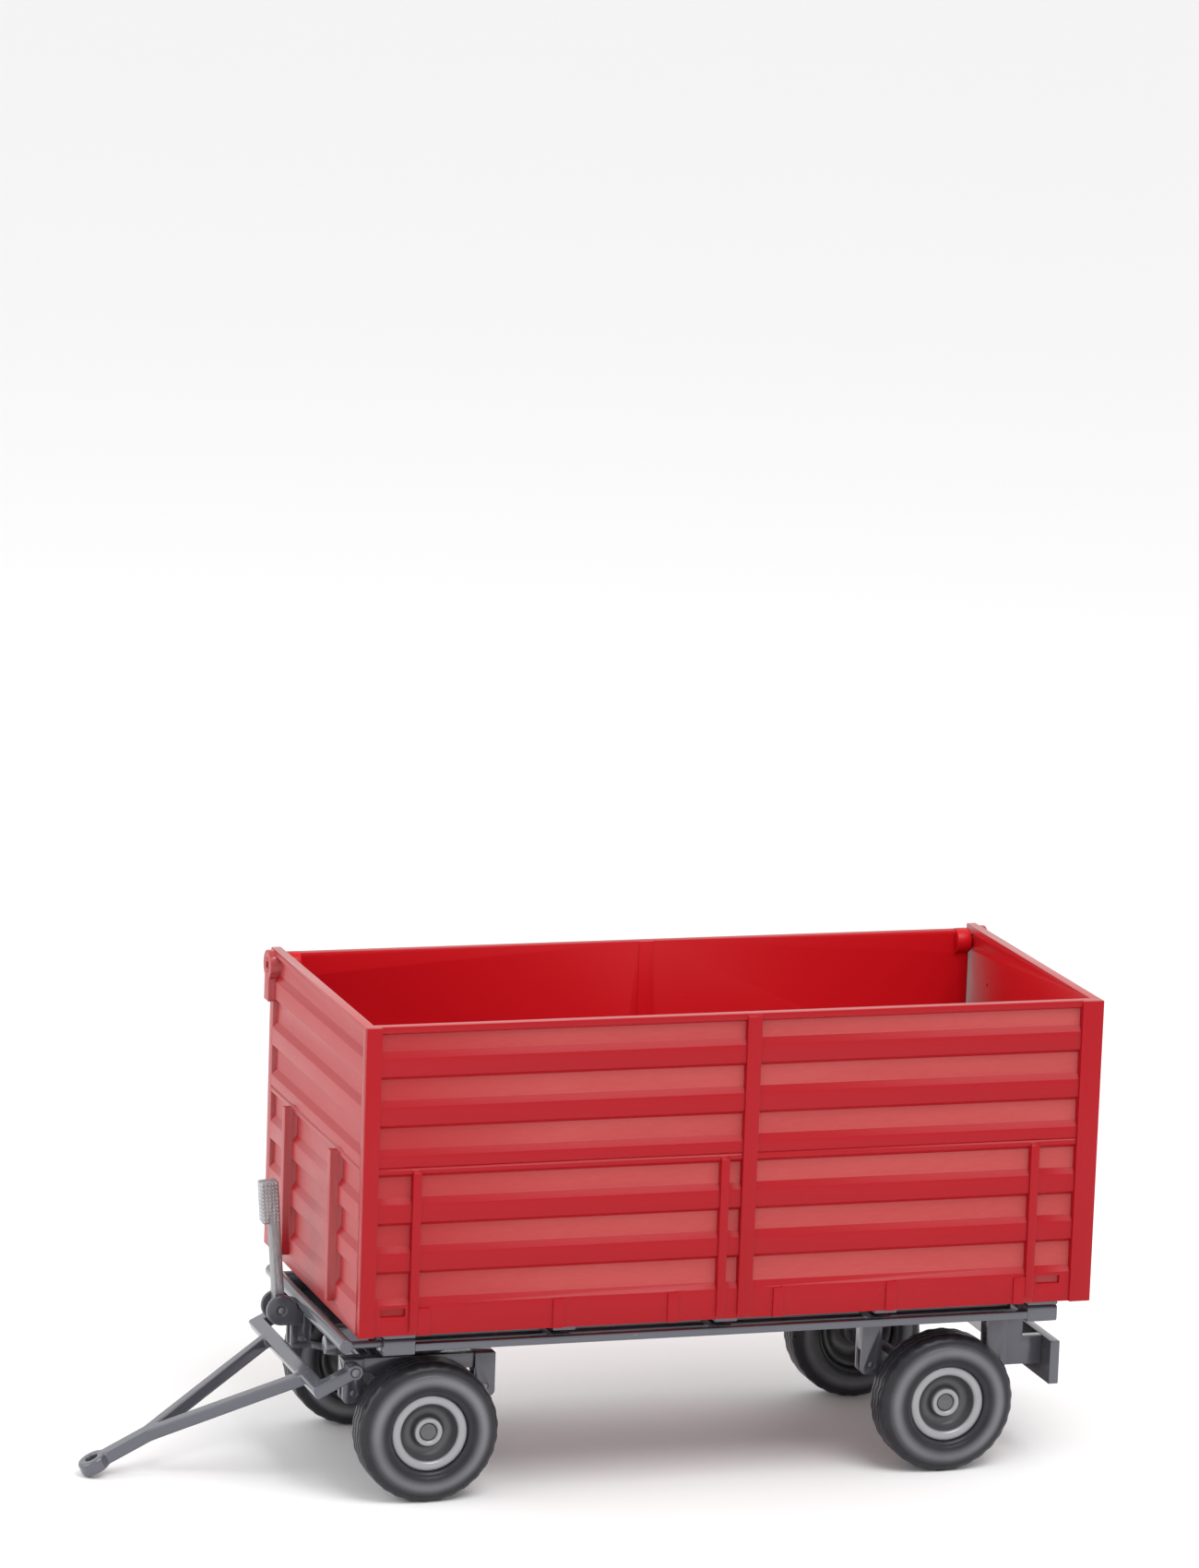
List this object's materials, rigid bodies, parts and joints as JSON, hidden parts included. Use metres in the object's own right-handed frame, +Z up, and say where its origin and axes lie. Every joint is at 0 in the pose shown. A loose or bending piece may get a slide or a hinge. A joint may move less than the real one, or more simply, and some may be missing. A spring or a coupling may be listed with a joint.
{
  "type": "drawbar tipping trailer scale model",
  "caption": "Drawbar farm trailer model: open ribbed box that tips sideways, top-hung side flap, steering front bogie and towing eye.",
  "frame": {"origin": "middle of the whole model's footprint, on the ground", "axes": "-X forward to the towing eye, +Y to the side with the flap that the box tips towards, +Z up"},
  "size_m": [0.2172, 0.0802, 0.106],
  "materials": {
    "red_plastic": "moulded glossy red plastic",
    "chassis_grey": "satin blue-grey paint on die-cast metal",
    "tyre": "black moulded tyre",
    "rim_grey": "light grey satin plastic",
    "hub_grey": "dark grey satin",
    "bare_zinc": "bare die-cast zinc",
    "dark_steel": "dull dark steel"
  },
  "bodies": {
    "chassis": {"cross_members": "chassis_grey", "edge_rail_far": "chassis_grey", "edge_rail_near": "chassis_grey", "front_cross_tube": "chassis_grey", "king_pin": "dark_steel", "lever_bracket": "chassis_grey", "lever_pin": "dark_steel", "main_rail_far": "chassis_grey", "main_rail_near": "chassis_grey", "outriggers": "chassis_grey", "rear_axle": "chassis_grey", "rear_plate": "chassis_grey", "rear_plate_brackets": "chassis_grey", "rear_spring_hangers": "chassis_grey", "rear_spring_pins": "dark_steel", "rear_springs": "dark_steel", "rest_blocks": "chassis_grey", "tipping_forks": "chassis_grey", "tipping_pins": "dark_steel", "turntable_plate": "chassis_grey", "upper_ring": "chassis_grey"},
    "bogie": {"bogie_bolster": "chassis_grey", "bogie_cross_plates": "chassis_grey", "bogie_side_far": "chassis_grey", "bogie_side_near": "chassis_grey", "drawbar_pins": "dark_steel", "front_axle": "chassis_grey", "front_spring_hangers": "chassis_grey", "front_spring_pins": "dark_steel", "front_springs": "dark_steel", "lower_ring": "chassis_grey"},
    "drawbar": {"drawbar_arm_far": "chassis_grey", "drawbar_arm_near": "chassis_grey", "drawbar_crossbar": "chassis_grey", "drawbar_leg_far": "chassis_grey", "drawbar_leg_near": "chassis_grey", "drawbar_stem": "chassis_grey", "towing_eye": "chassis_grey"},
    "tub": {"floor_bearers": "chassis_grey", "front_wall": "red_plastic", "near_wall": "red_plastic", "rear_wall": "red_plastic", "tipping_knuckles": "chassis_grey", "tub_floor": "red_plastic"},
    "flap": {"flap_hinge_pins": "red_plastic", "side_flap": "red_plastic"},
    "lever": {"hand_lever": "bare_zinc"},
    "wheel_front_near": {"tyre_front_near": "tyre", "rim_front_near": "rim_grey", "cap_front_near": "hub_grey"},
    "wheel_front_far": {"tyre_front_far": "tyre", "rim_front_far": "rim_grey", "cap_front_far": "hub_grey"},
    "wheel_rear_near": {"tyre_rear_near": "tyre", "rim_rear_near": "rim_grey", "cap_rear_near": "hub_grey"},
    "wheel_rear_far": {"tyre_rear_far": "tyre", "rim_rear_far": "rim_grey", "cap_rear_far": "hub_grey"}
  },
  "joints": [
    {"name": "steering", "type": "hinge", "parent": "chassis", "child": "bogie", "pos_m": [-0.03988, 0, 0.031], "axis": [0, 0, 1], "range_deg": [-35, 35]},
    {"name": "drawbar_lift", "type": "hinge", "parent": "bogie", "child": "drawbar", "pos_m": [-0.05508, 0, 0.028], "axis": [0, 1, 0], "range_deg": [0, 32]},
    {"name": "tipping", "type": "hinge", "parent": "chassis", "child": "tub", "pos_m": [0, 0.034, 0.0362], "axis": [-1, 0, 0], "range_deg": [0, 48]},
    {"name": "flap_swing", "type": "hinge", "parent": "tub", "child": "flap", "pos_m": [0, 0.0374, 0.1025], "axis": [1, 0, 0], "range_deg": [0, 55]},
    {"name": "lever_tilt", "type": "hinge", "parent": "chassis", "child": "lever", "pos_m": [-0.06468, 0.0013, 0.035], "axis": [0, -1, 0], "range_deg": [0, 40]},
    {"name": "wheel_front_near_spin", "type": "hinge", "parent": "bogie", "child": "wheel_front_near", "pos_m": [-0.03988, -0.0291, 0.0154], "axis": [0, 1, 0], "continuous": true},
    {"name": "wheel_front_far_spin", "type": "hinge", "parent": "bogie", "child": "wheel_front_far", "pos_m": [-0.03988, 0.0291, 0.0154], "axis": [0, 1, 0], "continuous": true},
    {"name": "wheel_rear_near_spin", "type": "hinge", "parent": "chassis", "child": "wheel_rear_near", "pos_m": [0.07742, -0.0291, 0.0154], "axis": [0, 1, 0], "continuous": true},
    {"name": "wheel_rear_far_spin", "type": "hinge", "parent": "chassis", "child": "wheel_rear_far", "pos_m": [0.07742, 0.0291, 0.0154], "axis": [0, 1, 0], "continuous": true}
  ]
}
